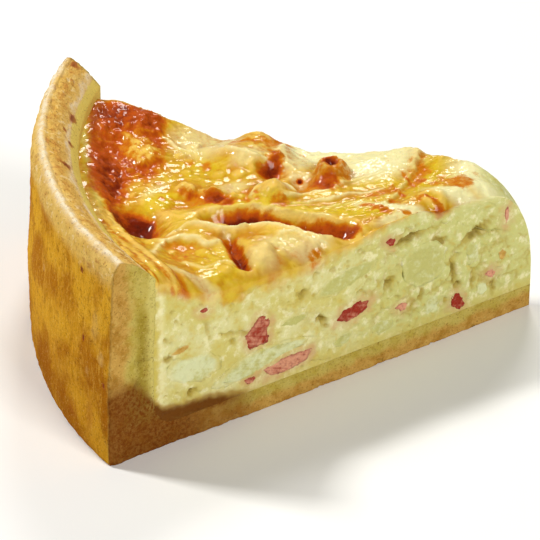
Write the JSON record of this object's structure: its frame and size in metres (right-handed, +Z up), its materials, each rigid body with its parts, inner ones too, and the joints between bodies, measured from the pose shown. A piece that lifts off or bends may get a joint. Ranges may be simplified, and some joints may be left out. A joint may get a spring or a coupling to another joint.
{
  "type": "quiche slice",
  "caption": "Wedge of deep potato and ham quiche: tall pastry wall and base, pale custard with chunks in its cut faces, and a browned melted cheese top.",
  "frame": {"origin": "middle of the slice's box in plan, at the flat underside", "axes": "+X from the crust to the tip, -Y the near cut's side, +Z up"},
  "size_m": [0.1195, 0.1022, 0.0508],
  "materials": {
    "pastry": "baked shortcrust, golden brown, matte, sandy crumb at the cuts",
    "custard": "set egg custard, pale cream yellow, soft and slightly moist, with small pores",
    "cheese": "melted cheese, yellow to browned, oily sheen",
    "potato": "boiled potato, waxy, pale greenish yellow",
    "ham": "diced ham, maroon to pink, moist",
    "onion": "soft cooked onion, pale amber, moist"
  },
  "bodies": {
    "root": {"pastry": "pastry", "custard": "custard", "cheese": "cheese", "ham_far_01": "ham", "ham_far_02": "ham", "ham_far_03": "ham", "ham_far_04": "ham", "ham_near_01": "ham", "ham_near_02": "ham", "ham_near_03": "ham", "ham_near_04": "ham", "ham_near_05": "ham", "onion_far_01": "onion", "onion_near_01": "onion", "potato_far_01": "potato", "potato_far_02": "potato", "potato_far_03": "potato", "potato_far_04": "potato", "potato_far_05": "potato", "potato_far_06": "potato", "potato_near_01": "potato", "potato_near_02": "potato", "potato_near_03": "potato", "potato_near_04": "potato", "potato_near_05": "potato", "potato_near_06": "potato", "potato_near_07": "potato", "potato_near_08": "potato", "potato_near_09": "potato", "potato_near_10": "potato"}
  },
  "joints": []
}
